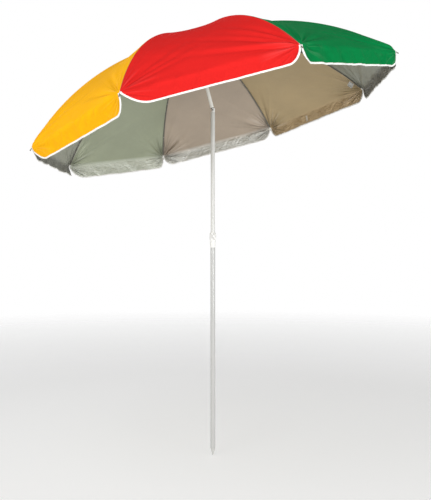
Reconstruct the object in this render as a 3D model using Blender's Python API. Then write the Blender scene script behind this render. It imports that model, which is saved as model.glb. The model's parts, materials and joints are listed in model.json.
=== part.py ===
"""Beach umbrella: eight steel ribs and a panelled canopy on a tilting head, over a two-part pole.

Metres, +Z up. The origin is the point of the ground spike and the lower pole stands on +Z.
The head frame has its origin on the tilt pin, with its own Z up the upper pole.
"""
import math

import bmesh
import bpy
from mathutils import Matrix, Vector

GAP = 0.0003

# Poles
SPIKE_HEIGHT = 0.037
LOWER_RADIUS = 0.011
MIDDLE_RADIUS = 0.0095
UPPER_RADIUS = 0.008
TUBE_WALL = 0.001
LOWER_TOP = 0.984
MIDDLE_BOTTOM = 0.700
COLLAR_BOTTOM = 0.940
COLLAR_TOP = 1.009
COLLAR_FOOT_RADIUS = 0.0123
COLLAR_BODY_RADIUS = 0.0130
COLLAR_HEAD_RADIUS = 0.0146
COLLAR_MOUTH_RADIUS = 0.0112
SCREW_HEIGHT = 0.990
SCREW_AZIMUTH = math.radians(-80)
WING_SPAN = 0.036
WING_LEAN = math.radians(32)

# Tilt joint
TILT_HEIGHT = 1.560
HEAD_TILT = math.radians(14.6)
SOCKET_RADIUS = 0.0093
EAR_INNER = 0.0043
EAR_TOP = 0.0082
TONGUE_HALF = 0.0040
SHOULDER_BASE = 0.0092
UPPER_BASE = 0.011

# Folding frame, in the head frame
RIB_COUNT = 8
FIRST_RIB_AZIMUTH = math.radians(-112.5)
RIB_STEP = 2 * math.pi / RIB_COUNT
HINGE_RADIUS = 0.017
CROWN_HINGE_Z = 0.3265
RIB_LINE_Z = 0.328
RIB_STRAIGHT_END = 0.035
RIB_BEND_RADIUS = 1.050
RIM_RADIUS = 0.820
RIB_OVERHANG = 0.009
RIB_RADIUS = 0.002
EYE_RADIUS = 0.0035
EYE_HALF = 0.0015
HUB_GROOVE_RADIUS = 0.0158
HUB_GROOVE_HALF = 0.0012
HUB_BORE = 0.0054
HUB_TOP = 0.0035
HUB_FLANGE_BOTTOM = -0.0105
HUB_NECK_RADIUS = 0.0115
HUB_BOTTOM = -0.0265
HUB_SLOT_INNER = 0.0127
CAP_RADIUS = 0.0205
CAP_STEM_RADIUS = 0.0050
CAP_STEM_DEPTH = 0.0060
CAP_RISE = 0.0130
TURNED_CHAMFER = 0.0005
CAP_LIP = 0.0012
RUNNER_BOTTOM = -0.0280
RUNNER_FOOT_RADIUS = 0.0155
RUNNER_FOOT_TOP = -0.0235
RUNNER_NECK_RADIUS = 0.0118
RUNNER_FLANGE_HALF = 0.0060
CATCH_HEIGHT = 0.0365
WIRE_RADIUS = 0.0009
WIRE_HOLE = 0.0013
SLOT_WIDTH = 0.0048
FLANGE_RADIUS = 0.0215
LINK_LENGTH = 0.158
LINK_STEPS = 30
PIVOT_DROP = 0.011
BRACKET_HALF = 0.0032
BRACKET_SLOT_HALF = 0.0020
BRACKET_LENGTH = 0.009
STRETCHER_RADIUS = 0.0015

# Cloth
CLOTH_LIFT = 0.0026
CLOTH_THICKNESS = 0.0008
CLOTH_INNER_RADIUS = 0.0070
PANEL_SAG = 0.0130
FLAP_DEPTH = 0.055
DEEP_FLAPS = {1: 0.061, 5: 0.065, 7: 0.064}
FLAP_LEAN = math.radians(8)
FLAP_CORNER = 0.040
FLAP_NOTCH = 0.008
FLAP_LEAST = 0.006
FLAP_ROWS = (0.45, 1.0)
CLOTH_SHARES = (0.0, 0.12, 0.5, 1.0)
STATION_COUNT = 10
LABEL_WIDTH = 0.027
LABEL_LENGTH = 0.027
LABEL_RADIUS = 0.777
LABEL_SHARE = 0.028
LABEL_THICKNESS = 0.0006
LABEL_DROP = 0.0030
STRAP_WIDTH = 0.010
STRAP_LENGTH = 0.030
STRAP_THICKNESS = 0.0014
STRAP_SHARE = 1.17
STRAP_OFFSET = -0.0016
STRAP_DROP = 0.010

PANEL_COLOURS = ("red", "green", "blue", "yellow")
COLOURS = {
    "red": (0.80, 0.025, 0.028),
    "green": (0.002, 0.24, 0.072),
    "blue": (0.012, 0.055, 0.36),
    "yellow": (1.0, 0.44, 0.013),
}


def material(name, colour, roughness, metallic=0.0):
    """A plain Principled material, made once for each name."""
    found = bpy.data.materials.get(name)
    if found:
        return found
    made = bpy.data.materials.new(name)
    made.use_nodes = True
    shader = made.node_tree.nodes["Principled BSDF"]
    shader.inputs["Base Color"].default_value = (*colour, 1.0)
    shader.inputs["Roughness"].default_value = roughness
    shader.inputs["Metallic"].default_value = metallic
    return made


def lacquered_steel():
    return material("lacquered_steel", (0.76, 0.75, 0.71), 0.35, 0.2)


def grey_steel():
    return material("grey_steel", (0.11, 0.11, 0.105), 0.45, 0.3)


def zinc_steel():
    return material("zinc_steel", (0.55, 0.55, 0.54), 0.35, 0.9)


def white_plastic():
    return material("white_plastic", (0.80, 0.79, 0.76), 0.45)


def grey_plastic():
    return material("grey_plastic", (0.50, 0.50, 0.48), 0.5)


def black_plastic():
    return material("black_plastic", (0.045, 0.040, 0.035), 0.5)


def place(name, mesh, finish, parent=None, matrix=None):
    """Link an object that shows mesh, under parent, with matrix as its place there."""
    made = bpy.data.objects.new(name, mesh)
    bpy.context.collection.objects.link(made)
    if not mesh.materials:
        mesh.materials.append(finish)
    made.parent = parent
    made.matrix_basis = matrix or Matrix.Identity(4)
    return made


def closed_mesh(name, vertices, faces):
    """A closed mesh with its faces pointing out and its round faces smooth."""
    mesh = bpy.data.meshes.new(name)
    mesh.from_pydata([tuple(v) for v in vertices], [], faces)
    work = bmesh.new()
    work.from_mesh(mesh)
    bmesh.ops.recalc_face_normals(work, faces=work.faces)
    work.to_mesh(mesh)
    work.free()
    mesh.shade_smooth()
    mesh.set_sharp_from_angle(angle=math.radians(35))
    return mesh


def turned(name, profile, segments=24, tube=False):
    """Turn (radius, height) points about Z. A tube's profile is a loop, a solid's runs axis to axis."""
    vertices = []
    rings = []
    for radius, height in profile:
        count = segments if radius > 1e-7 else 1
        rings.append([len(vertices) + n for n in range(count)])
        for n in range(count):
            turn = 2 * math.pi * n / segments
            vertices.append((radius * math.cos(turn), radius * math.sin(turn), height))
    pairs = list(zip(rings, rings[1:]))
    if tube:
        pairs.append((rings[-1], rings[0]))
    faces = []
    for low, high in pairs:
        for n in range(segments):
            corners = [low[n % len(low)], low[(n + 1) % len(low)]]
            corners += [high[(n + 1) % len(high)], high[n % len(high)]]
            face = list(dict.fromkeys(corners))
            if len(face) > 2:
                faces.append(face)
    return closed_mesh(name, vertices, faces)


def swept(name, path, radius, sides, loop=False, side=None):
    """A round rod along path. side is a direction that the path never turns towards."""
    count = len(path)
    vertices = []
    for n, point in enumerate(path):
        before = path[n - 1] if n or loop else point
        after = path[(n + 1) % count] if n < count - 1 or loop else point
        along = (after - before).normalized()
        across = (side - along * side.dot(along)).normalized()
        up = along.cross(across)
        for k in range(sides):
            turn = 2 * math.pi * (k + 0.5) / sides
            vertices.append(point + radius * (math.cos(turn) * across + math.sin(turn) * up))
    faces = []
    for n in range(count if loop else count - 1):
        low = n * sides
        high = (n + 1) % count * sides
        for k in range(sides):
            faces.append((low + k, low + (k + 1) % sides, high + (k + 1) % sides, high + k))
    if not loop:
        faces.append(tuple(range(sides)))
        faces.append(tuple((count - 1) * sides + k for k in range(sides)))
    return closed_mesh(name, vertices, faces)


def block(name, low, high):
    """A box between two corners."""
    corners = [(x, y, z) for x in (low[0], high[0]) for y in (low[1], high[1]) for z in (low[2], high[2])]
    faces = [(0, 1, 3, 2), (4, 6, 7, 5), (0, 4, 5, 1), (2, 3, 7, 6), (0, 2, 6, 4), (1, 5, 7, 3)]
    return closed_mesh(name, corners, faces)


def drum(name, radius, low, high, segments=20, axis="Y"):
    """A solid cylinder between low and high on the Y or Z axis."""
    mesh = turned(name, [(0, low), (radius, low), (radius, high), (0, high)], segments)
    if axis == "Y":
        mesh.transform(Matrix.Rotation(-math.pi / 2, 4, "X"))
    return mesh


def shaped(name, mesh, steps):
    """The mesh left after each (operation, mesh) step, in order, with exact Booleans."""
    body = place(name + "_blank", mesh, white_plastic())
    tools = []
    for n, (operation, tool_mesh) in enumerate(steps):
        tool = place(f"{name}_tool_{n}", tool_mesh, white_plastic())
        tool.hide_render = True
        tool.display_type = "WIRE"
        tools.append(tool)
        step = body.modifiers.new(f"step_{n}", "BOOLEAN")
        step.operation = operation
        step.solver = "EXACT"
        step.object = tool
    bpy.context.view_layer.update()
    graph = bpy.context.evaluated_depsgraph_get()
    made = bpy.data.meshes.new_from_object(body.evaluated_get(graph))
    made.name = name
    made.materials.clear()
    for used in [body, *tools]:
        bpy.data.objects.remove(used)
    return made


def rib_line_z(radius):
    """Height of a rib's centre line at a distance from the canopy's axis."""
    out = max(0.0, radius - RIB_STRAIGHT_END)
    return RIB_LINE_Z - RIB_BEND_RADIUS + math.sqrt(RIB_BEND_RADIUS**2 - out**2)


def rib_slope(radius):
    """Angle of a rib's centre line below the horizontal there."""
    return math.asin(max(0.0, radius - RIB_STRAIGHT_END) / RIB_BEND_RADIUS)


def stations():
    """Radii from the hub's edge to the rim where the ribs and the cloth both have a row of points."""
    span = (RIM_RADIUS - RIB_STRAIGHT_END) / STATION_COUNT
    return [RIB_STRAIGHT_END + span * n for n in range(STATION_COUNT + 1)]


def link_angle():
    """Angle below the horizontal of the line from the crown hinge to the stretcher's pivot."""
    angle = 0.0
    for _ in range(LINK_STEPS):
        radius = HINGE_RADIUS + LINK_LENGTH * math.cos(angle)
        drop = CROWN_HINGE_Z - rib_line_z(radius) + PIVOT_DROP
        angle = math.asin(drop / LINK_LENGTH)
    return angle


def runner_hinge_z():
    """Height of the runner's hinge ring with the canopy open."""
    return CROWN_HINGE_Z - 2 * LINK_LENGTH * math.sin(link_angle())


def rib_azimuth(n):
    return FIRST_RIB_AZIMUTH + n * RIB_STEP


def at_azimuth(azimuth, radius, height):
    """Place in the head frame at a radius and height, turned so that local X points outwards."""
    return Matrix.Rotation(azimuth, 4, "Z") @ Matrix.Translation((radius, 0, height))


def pole_tube(radius, low, high):
    inner = radius - TUBE_WALL
    return [(inner, low), (radius, low), (radius, high), (inner, high)]


def make_ground_spike():
    bore = LOWER_RADIUS - TUBE_WALL - GAP
    base = SPIKE_HEIGHT
    profile = [(0, 0), (0.0014, 0.0006), (LOWER_RADIUS, base - 0.001), (LOWER_RADIUS, base)]
    profile += [(bore, base), (bore, base + 0.038), (bore - 0.002, base + 0.040), (0, base + 0.040)]
    place("ground_spike", turned("ground_spike", profile, 28), grey_plastic())


def make_lower_pole():
    profile = pole_tube(LOWER_RADIUS, SPIKE_HEIGHT + GAP, LOWER_TOP)
    place("lower_pole", turned("lower_pole", profile, 32, tube=True), lacquered_steel())


def screw_frame():
    """Frame of the clamp screw: local Z points out along the screw, away from the pole."""
    turn = Matrix.Rotation(SCREW_AZIMUTH, 4, "Z") @ Matrix.Rotation(math.pi / 2, 4, "Y")
    return Matrix.Translation((0, 0, SCREW_HEIGHT)) @ turn


def make_clamp_collar():
    """Collar over the lower pole's top, with a boss for the clamp screw and a pocket for its nut."""
    low_bore = LOWER_RADIUS + GAP
    high_bore = MIDDLE_RADIUS + GAP
    step = LOWER_TOP + GAP
    foot = COLLAR_FOOT_RADIUS
    body = COLLAR_BODY_RADIUS
    head = COLLAR_HEAD_RADIUS
    mouth = COLLAR_MOUTH_RADIUS
    profile = [(0, COLLAR_BOTTOM), (foot, COLLAR_BOTTOM), (foot, COLLAR_BOTTOM + 0.007)]
    profile += [(body, COLLAR_BOTTOM + 0.011), (body, COLLAR_BOTTOM + 0.030)]
    profile += [(head, COLLAR_BOTTOM + 0.036), (head, COLLAR_BOTTOM + 0.063)]
    profile += [(mouth, COLLAR_BOTTOM + 0.067), (mouth - 0.0002, COLLAR_TOP), (0, COLLAR_TOP)]
    boss = drum("boss", 0.0080, 0.0085, 0.0190, 20, "Z")
    hole = drum("hole", 0.0033, 0.0, 0.030, 16, "Z")
    pocket = drum("pocket", 0.0059, 0.0125, 0.0162, 6, "Z")
    entry = block("entry", (-0.020, -0.0047, 0.0121), (-0.001, 0.0047, 0.0166))
    for mesh in (boss, hole, pocket, entry):
        mesh.transform(screw_frame())
    low_cut = drum("low_cut", low_bore, COLLAR_BOTTOM - 0.01, step, 32, "Z")
    high_cut = drum("high_cut", high_bore, step - 0.001, COLLAR_TOP + 0.01, 32, "Z")
    steps = [("UNION", boss), ("DIFFERENCE", low_cut), ("DIFFERENCE", high_cut)]
    steps += [("DIFFERENCE", hole), ("DIFFERENCE", pocket), ("DIFFERENCE", entry)]
    mesh = shaped("clamp_collar", turned("collar", profile, 26), steps)
    place("clamp_collar", mesh, white_plastic())


def make_clamp_nut():
    nut = shaped("clamp_nut", drum("nut", 0.0055, 0.0128, 0.0159, 6, "Z"),
                 [("DIFFERENCE", drum("thread", 0.0033, 0.010, 0.020, 16, "Z"))])
    place("clamp_nut", nut, zinc_steel(), None, screw_frame())


def make_clamp_screw():
    """Thumb screw: a shank through the nut and a two-winged head, turned about its own Z."""
    tip = MIDDLE_RADIUS + GAP
    shank = [(0, tip), (0.0022, tip), (0.0030, tip + 0.0008), (0.0030, 0.0196)]
    shank += [(0.0056, 0.0196), (0.0056, 0.0225), (0.0044, 0.0290), (0, 0.0290)]
    wing = block("wing", (-WING_SPAN / 2, -0.0020, 0.0215), (WING_SPAN / 2, 0.0020, 0.0300))
    ends = block("ends", (-0.0045, -0.0030, 0.0292), (0.0045, 0.0030, 0.0320))
    mesh = shaped("clamp_screw", turned("shank", shank, 18), [("UNION", wing), ("DIFFERENCE", ends)])
    matrix = screw_frame() @ Matrix.Rotation(WING_LEAN, 4, "Z")
    place("clamp_screw", mesh, white_plastic(), None, matrix)


def make_middle_pole():
    profile = pole_tube(MIDDLE_RADIUS, MIDDLE_BOTTOM, TILT_HEIGHT - 0.0093)
    place("middle_pole", turned("middle_pole", profile, 32, tube=True), lacquered_steel())


def make_middle_pole_bung():
    wide = LOWER_RADIUS - TUBE_WALL - GAP
    bore = MIDDLE_RADIUS - TUBE_WALL - GAP
    low = MIDDLE_BOTTOM
    profile = [(0, low - 0.012), (wide - 0.001, low - 0.012), (wide, low - 0.011), (wide, low - GAP)]
    profile += [(bore, low - GAP), (bore, low + 0.018), (0, low + 0.018)]
    place("middle_pole_bung", turned("middle_pole_bung", profile, 24), black_plastic())


def make_tilt_socket():
    """Socket on the middle pole: two ears and a back wall, open on the side the head leans to."""
    bore = MIDDLE_RADIUS - TUBE_WALL - GAP
    profile = [(0, -0.036), (bore, -0.036), (bore, -0.009), (SOCKET_RADIUS, -0.009)]
    profile += [(SOCKET_RADIUS, EAR_TOP - 0.0006), (SOCKET_RADIUS - 0.0006, EAR_TOP), (0, EAR_TOP)]
    slot = block("slot", (-0.020, -EAR_INNER, -0.0068), (0.0052, EAR_INNER, 0.020))
    front = block("front", (-0.020, -0.020, -0.0068), (-0.0036, 0.020, 0.020))
    steps = [("DIFFERENCE", slot), ("DIFFERENCE", front)]
    steps.append(("DIFFERENCE", drum("pin_hole", 0.0025, 0.0, 0.020)))
    steps.append(("DIFFERENCE", drum("button_hole", 0.0033, -0.020, 0.0)))
    mesh = shaped("tilt_socket", turned("socket", profile, 28), steps)
    place("tilt_socket", mesh, white_plastic(), None, Matrix.Translation((0, 0, TILT_HEIGHT)))


def make_tilt_pin():
    profile = [(0, -0.0010), (0.0022, -0.0010), (0.0022, 0.0094)]
    profile += [(0.0035, 0.0094), (0.0030, 0.0106), (0, 0.0106)]
    mesh = turned("tilt_pin", profile, 20)
    mesh.transform(Matrix.Rotation(-math.pi / 2, 4, "X"))
    place("tilt_pin", mesh, zinc_steel(), None, Matrix.Translation((0, 0, TILT_HEIGHT)))


def make_tilt_button():
    profile = [(0, -0.0108), (0.0024, -0.0108), (0.0030, -0.0102), (0.0030, -0.0045), (0, -0.0045)]
    mesh = turned("tilt_button", profile, 20)
    mesh.transform(Matrix.Rotation(-math.pi / 2, 4, "X"))
    place("tilt_button", mesh, black_plastic(), None, Matrix.Translation((0, 0, TILT_HEIGHT)))


def make_tilt_spring():
    """Coil between the button and the pin's end, along Y."""
    turns = 2.5
    radius = 0.0022
    low = -0.0041
    high = -0.0014
    count = 30
    path = []
    for n in range(count + 1):
        turn = 2 * math.pi * turns * n / count
        along = low + (high - low) * n / count
        path.append(Vector((radius * math.cos(turn), along, radius * math.sin(turn))))
    mesh = swept("tilt_spring", path, 0.0002, 5, side=Vector((0, 1, 0)))
    place("tilt_spring", mesh, zinc_steel(), None, Matrix.Translation((0, 0, TILT_HEIGHT)))


def make_tilt_knuckle(head):
    """Tongue on the pin, a shoulder under the upper pole and a plug inside it."""
    bore = UPPER_RADIUS - TUBE_WALL - GAP
    profile = [(0, SHOULDER_BASE), (0.0078, SHOULDER_BASE), (0.0078, UPPER_BASE - GAP)]
    profile += [(bore, UPPER_BASE - GAP), (bore, UPPER_BASE + 0.026), (0, UPPER_BASE + 0.026)]
    lobe = drum("lobe", 0.0046, -TONGUE_HALF, TONGUE_HALF, 26)
    neck = block("neck", (-0.0040, -0.0038, 0.0), (0.0040, 0.0038, SHOULDER_BASE + 0.001))
    steps = [("UNION", neck), ("UNION", lobe)]
    steps.append(("DIFFERENCE", drum("pin_bore", 0.0025, -0.002, 0.010, 18)))
    steps.append(("DIFFERENCE", drum("spring_bore", 0.0033, -0.010, -0.0008, 22)))
    mesh = shaped("tilt_knuckle", turned("plug", profile, 28), steps)
    place("tilt_knuckle", mesh, black_plastic(), head)


def make_upper_pole(head):
    tube = turned("tube", pole_tube(UPPER_RADIUS, UPPER_BASE, CROWN_HINGE_Z - 0.0073), 28, tube=True)
    slot = block("slot", (-0.020, -0.0021, catch_base() + 0.004), (0.0, 0.0021, catch_base() + 0.036))
    mesh = shaped("upper_pole", tube, [("DIFFERENCE", slot)])
    place("upper_pole", mesh, lacquered_steel(), head)


def make_crown_hub(head):
    """Hub on the pole's top: a grooved flange with a slot for each rib's end."""
    grip = UPPER_RADIUS + GAP
    profile = [(grip, HUB_BOTTOM), (grip, -0.0070), (HUB_BORE, -0.0070), (HUB_BORE, HUB_TOP)]
    profile += [(FLANGE_RADIUS, HUB_TOP), (FLANGE_RADIUS, HUB_GROOVE_HALF)]
    profile += [(HUB_GROOVE_RADIUS, HUB_GROOVE_HALF), (HUB_GROOVE_RADIUS, -HUB_GROOVE_HALF)]
    profile += [(FLANGE_RADIUS, -HUB_GROOVE_HALF), (FLANGE_RADIUS, HUB_FLANGE_BOTTOM)]
    profile += [(HUB_NECK_RADIUS, HUB_FLANGE_BOTTOM), (HUB_NECK_RADIUS, HUB_BOTTOM)]
    mesh = slotted("crown_hub", profile, HUB_FLANGE_BOTTOM - TURNED_CHAMFER, HUB_TOP + 0.001)
    place("crown_hub", mesh, white_plastic(), head, Matrix.Translation((0, 0, CROWN_HINGE_Z)))


def slotted(name, profile, low, high):
    """A turned hub with one radial slot for each rib, from low to high."""
    steps = []
    for n in range(RIB_COUNT):
        cutter = block(f"{name}_slot", (HUB_SLOT_INNER, -SLOT_WIDTH / 2, low), (0.030, SLOT_WIDTH / 2, high))
        cutter.transform(Matrix.Rotation(rib_azimuth(n), 4, "Z"))
        steps.append(("DIFFERENCE", cutter))
    return shaped(name, turned(name, profile, 24, tube=True), steps)


def hinge_wire(name, height, head):
    """Ring of wire that the ends of the ribs or stretchers turn on."""
    count = 36
    path = [Vector((HINGE_RADIUS * math.cos(2 * math.pi * n / count),
                    HINGE_RADIUS * math.sin(2 * math.pi * n / count), 0)) for n in range(count)]
    mesh = swept(name, path, WIRE_RADIUS, 5, loop=True, side=Vector((0, 0, 1)))
    place(name, mesh, zinc_steel(), head, Matrix.Translation((0, 0, height)))


def make_finial_cap(head):
    """Cap that holds the cloth down on the hub, with its stem in the hub's bore."""
    base = RIB_LINE_Z + CLOTH_LIFT + CLOTH_THICKNESS + GAP
    foot = CROWN_HINGE_Z - CAP_STEM_DEPTH
    lip = base + CAP_LIP
    profile = [(0, foot), (CAP_STEM_RADIUS - TURNED_CHAMFER, foot)]
    profile += [(CAP_STEM_RADIUS, foot + 2 * TURNED_CHAMFER), (CAP_STEM_RADIUS, base)]
    profile += [(CAP_RADIUS - TURNED_CHAMFER, base), (CAP_RADIUS, lip)]
    for n in range(1, 6):
        turn = math.pi / 2 * n / 6
        profile.append((CAP_RADIUS * math.cos(turn), lip + CAP_RISE * math.sin(turn)))
    profile.append((0, lip + CAP_RISE))
    place("finial_cap", turned("finial_cap", profile, 20), white_plastic(), head)


def make_runner(head):
    """Sleeve that slides on the upper pole, with a grooved flange for the stretchers."""
    bore = UPPER_RADIUS + 0.0005
    groove = HUB_GROOVE_HALF
    half = RUNNER_FLANGE_HALF
    profile = [(bore, RUNNER_BOTTOM), (RUNNER_FOOT_RADIUS - TURNED_CHAMFER, RUNNER_BOTTOM)]
    profile += [(RUNNER_FOOT_RADIUS, RUNNER_BOTTOM + 0.001), (RUNNER_FOOT_RADIUS, RUNNER_FOOT_TOP)]
    profile += [(RUNNER_NECK_RADIUS, RUNNER_FOOT_TOP + 0.002), (RUNNER_NECK_RADIUS, -half)]
    profile += [(FLANGE_RADIUS, -half), (FLANGE_RADIUS, -groove), (HUB_GROOVE_RADIUS, -groove)]
    profile += [(HUB_GROOVE_RADIUS, groove), (FLANGE_RADIUS, groove), (FLANGE_RADIUS, half), (bore, half)]
    mesh = slotted("runner", profile, -0.0065, 0.0070)
    place("runner", mesh, white_plastic(), head, Matrix.Translation((0, 0, runner_hinge_z())))


def catch_base():
    """Height of the runner catch's pivot inside the upper pole."""
    return runner_hinge_z() + RUNNER_BOTTOM - CATCH_HEIGHT


def make_runner_catch(head):
    """Leaf inside the upper pole; its sprung nose comes out through a slot, under the runner."""
    inner = UPPER_RADIUS - TUBE_WALL - GAP
    outline = [(-inner + 0.0022, 0), (-inner + 0.0006, 0), (-inner + 0.0006, 0.012), (-0.0108, 0.0345)]
    outline += [(-0.0108, 0.0355), (-inner + 0.0022, 0.0355)]
    half = 0.0018
    vertices = [(x, y, z) for y in (-half, half) for x, z in outline]
    count = len(outline)
    faces = [tuple(range(count)), tuple(range(2 * count - 1, count - 1, -1))]
    faces += [(n, (n + 1) % count, count + (n + 1) % count, count + n) for n in range(count)]
    mesh = closed_mesh("runner_catch", vertices, faces)
    place("runner_catch", mesh, zinc_steel(), head, Matrix.Translation((0, 0, catch_base())))


def rib_mesh():
    """A rib seen from its hinge: a bent rod with an eye at the hub and a bracket for the stretcher."""
    radii = [HINGE_RADIUS + 0.0015, *stations(), RIM_RADIUS + RIB_OVERHANG]
    path = [Vector((r - HINGE_RADIUS, 0, rib_line_z(r) - CROWN_HINGE_Z)) for r in radii]
    path[0].z = 0.0
    rod = swept("rod", path, RIB_RADIUS, 8, side=Vector((0, 1, 0)))
    angle = link_angle()
    pivot = Vector((LINK_LENGTH * math.cos(angle), 0, -LINK_LENGTH * math.sin(angle)))
    half = BRACKET_LENGTH / 2
    bracket = block("bracket", (pivot.x - half, -BRACKET_HALF, pivot.z - 0.0035),
                    (pivot.x + half, BRACKET_HALF, pivot.z + PIVOT_DROP + 0.0008))
    slot = block("slot", (pivot.x - 0.02, -BRACKET_SLOT_HALF, pivot.z - 0.010),
                 (pivot.x + 0.02, BRACKET_SLOT_HALF, pivot.z + PIVOT_DROP - 0.0045))
    hole = drum("hole", 0.0015, -0.010, 0.010, 8)
    hole.transform(Matrix.Translation(pivot))
    eye = drum("eye", EYE_RADIUS, -EYE_HALF, EYE_HALF, 12)
    eye_hole = drum("eye_hole", WIRE_HOLE, -0.010, 0.010, 8)
    ferrule = swept("ferrule", path[-1:] + [path[-1] + (path[-1] - path[-2]).normalized() * 0.0035],
                    0.0027, 8, side=Vector((0, 1, 0)))
    ferrule.transform(Matrix.Translation((path[-2] - path[-1]).normalized() * 0.0012))
    steps = [("UNION", eye), ("UNION", bracket), ("UNION", ferrule)]
    steps += [("DIFFERENCE", eye_hole), ("DIFFERENCE", slot), ("DIFFERENCE", hole)]
    return shaped("rib", rod, steps)


def stretcher_mesh():
    """A stretcher seen from its outer pivot: a rod with a riveted eye and an eye for the runner."""
    angle = link_angle()
    inner = Vector((-LINK_LENGTH * math.cos(angle), 0, -LINK_LENGTH * math.sin(angle)))
    rod = swept("rod", [inner * 0.988, inner * 0.012], STRETCHER_RADIUS, 8, side=Vector((0, 1, 0)))
    outer_eye = drum("outer_eye", 0.0032, -0.0017, 0.0017, 12)
    rivet = drum("rivet", 0.0012, -0.0042, 0.0042, 8)
    head_low = drum("head_low", 0.0022, -0.0043, -0.0035, 9)
    head_high = drum("head_high", 0.0022, 0.0035, 0.0043, 9)
    inner_eye = drum("inner_eye", EYE_RADIUS - 0.0003, -EYE_HALF, EYE_HALF, 12)
    hole = drum("hole", WIRE_HOLE, -0.010, 0.010, 10)
    inner_eye.transform(Matrix.Translation(inner))
    hole.transform(Matrix.Translation(inner))
    steps = [("UNION", outer_eye), ("UNION", rivet), ("UNION", head_low), ("UNION", head_high)]
    steps += [("UNION", inner_eye), ("DIFFERENCE", hole)]
    return shaped("stretcher", rod, steps)


def make_frame(head):
    """Eight ribs on the crown wire, each with its stretcher down to the runner."""
    rib = rib_mesh()
    stretcher = stretcher_mesh()
    angle = link_angle()
    pivot_radius = HINGE_RADIUS + LINK_LENGTH * math.cos(angle)
    pivot_z = CROWN_HINGE_Z - LINK_LENGTH * math.sin(angle)
    for n in range(RIB_COUNT):
        azimuth = rib_azimuth(n)
        place(f"rib_{n + 1}", rib, grey_steel(), head, at_azimuth(azimuth, HINGE_RADIUS, CROWN_HINGE_Z))
        place(f"stretcher_{n + 1}", stretcher, grey_steel(), head,
              at_azimuth(azimuth, pivot_radius, pivot_z))


def cloth_point(radius, share, lift):
    """Point of the canopy at a rib radius and a share of the way from a rib (0) to mid-panel (1)."""
    near = Vector((radius, 0, rib_line_z(radius)))
    far = Matrix.Rotation(RIB_STEP, 4, "Z") @ near
    between = share / 2
    point = near.lerp(far, between)
    slope = rib_slope(radius)
    azimuth = math.atan2(point.y, point.x)
    outward = Vector((math.cos(azimuth), math.sin(azimuth), 0))
    normal = outward * math.sin(slope) + Vector((0, 0, math.cos(slope)))
    tangent = Vector((-math.sin(azimuth), math.cos(azimuth), 0))
    out = max(0.0, radius - RIB_STRAIGHT_END) / (RIM_RADIUS - RIB_STRAIGHT_END)
    sag = PANEL_SAG * 4 * between * (1 - between) * math.sin(math.pi * out)
    return point + normal * (lift - sag) + tangent * GAP * (1 - 2 * share)


def flap_point(share, depth_share, lift, full_depth):
    """Point of the flap that hangs from the rim, with a round corner beside the rib."""
    rim = cloth_point(RIM_RADIUS, share, 0)
    half_width = RIM_RADIUS * math.sin(RIB_STEP / 2)
    beside = share * half_width
    corner = max(0.0, 1 - beside / FLAP_CORNER)
    depth = full_depth * math.sqrt(max(0.0, 1 - corner**2))
    notch = FLAP_NOTCH * (1 - share) ** 8 * depth_share
    middle = RIB_STEP / 2
    out = Vector((math.cos(middle), math.sin(middle), 0))
    tangent = Vector((-math.sin(middle), math.cos(middle), 0))
    down = Vector((0, 0, -math.cos(FLAP_LEAN))) - out * math.sin(FLAP_LEAN)
    reach = max(depth, FLAP_LEAST) * depth_share
    return rim + out * lift + Vector((0, 0, lift * (1 - depth_share))) + down * reach + tangent * notch


def half_panel_mesh(name, hand, full_depth):
    """Half a panel, seen from its rib's hinge. hand is 1 on the rib's left side and -1 on its right."""
    radii = [CLOTH_INNER_RADIUS, *stations()]
    shares = CLOTH_SHARES
    vertices = []
    for lift in (CLOTH_LIFT, CLOTH_LIFT + CLOTH_THICKNESS):
        for radius in radii:
            vertices += [cloth_point(radius, share, lift) for share in shares]
        for depth_share in FLAP_ROWS:
            vertices += [flap_point(share, depth_share, lift, full_depth) for share in shares]
    rows = len(radii) + len(FLAP_ROWS)
    columns = len(shares)
    size = rows * columns
    faces = []
    for row in range(rows - 1):
        for column in range(columns - 1):
            corner = row * columns + column
            quad = (corner, corner + 1, corner + columns + 1, corner + columns)
            faces.append(quad)
            faces.append(tuple(size + v for v in reversed(quad)))
    border = list(range(columns)) + [row * columns + columns - 1 for row in range(1, rows)]
    border += [(rows - 1) * columns + column for column in range(columns - 2, -1, -1)]
    border += [row * columns for row in range(rows - 2, 0, -1)]
    for here, there in zip(border, border[1:] + border[:1]):
        faces.append((here, there, size + there, size + here))
    hinge = Vector((HINGE_RADIUS, 0, CROWN_HINGE_Z))
    placed = []
    for vertex in vertices:
        moved = vertex - hinge
        placed.append((moved.x, hand * moved.y, moved.z))
    return closed_mesh(name, placed, faces)


def make_canopy(head):
    """Two half-panels on each rib; panel n lies between rib n and the next one."""
    for n in range(RIB_COUNT):
        colour = PANEL_COLOURS[n % len(PANEL_COLOURS)]
        finish = material(f"{colour}_cloth", COLOURS[colour], 0.7)
        full_depth = DEEP_FLAPS.get(n, FLAP_DEPTH)
        for side, hand, rib in (("a", 1, n), ("b", -1, n + 1)):
            name = f"panel_{n + 1}_{side}"
            place(name, half_panel_mesh(name, hand, full_depth), finish, head,
                  at_azimuth(rib_azimuth(rib % RIB_COUNT), HINGE_RADIUS, CROWN_HINGE_Z))


def make_care_label(head):
    """Blank tag sewn into the fourth rib's seam: its top edge runs along the rib and it hangs inwards."""
    rib = 3
    half = LABEL_WIDTH / 2
    thin = LABEL_THICKNESS / 2
    mesh = block("care_label", (-half, -thin, -LABEL_LENGTH), (half, thin, 0))
    start = cloth_point(LABEL_RADIUS, LABEL_SHARE, CLOTH_LIFT - LABEL_DROP)
    place("care_label", mesh, white_plastic(), head,
          Matrix.Rotation(rib_azimuth(rib), 4, "Z") @ Matrix.Translation(start)
          @ Matrix.Rotation(rib_slope(LABEL_RADIUS), 4, "Y"))


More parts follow.
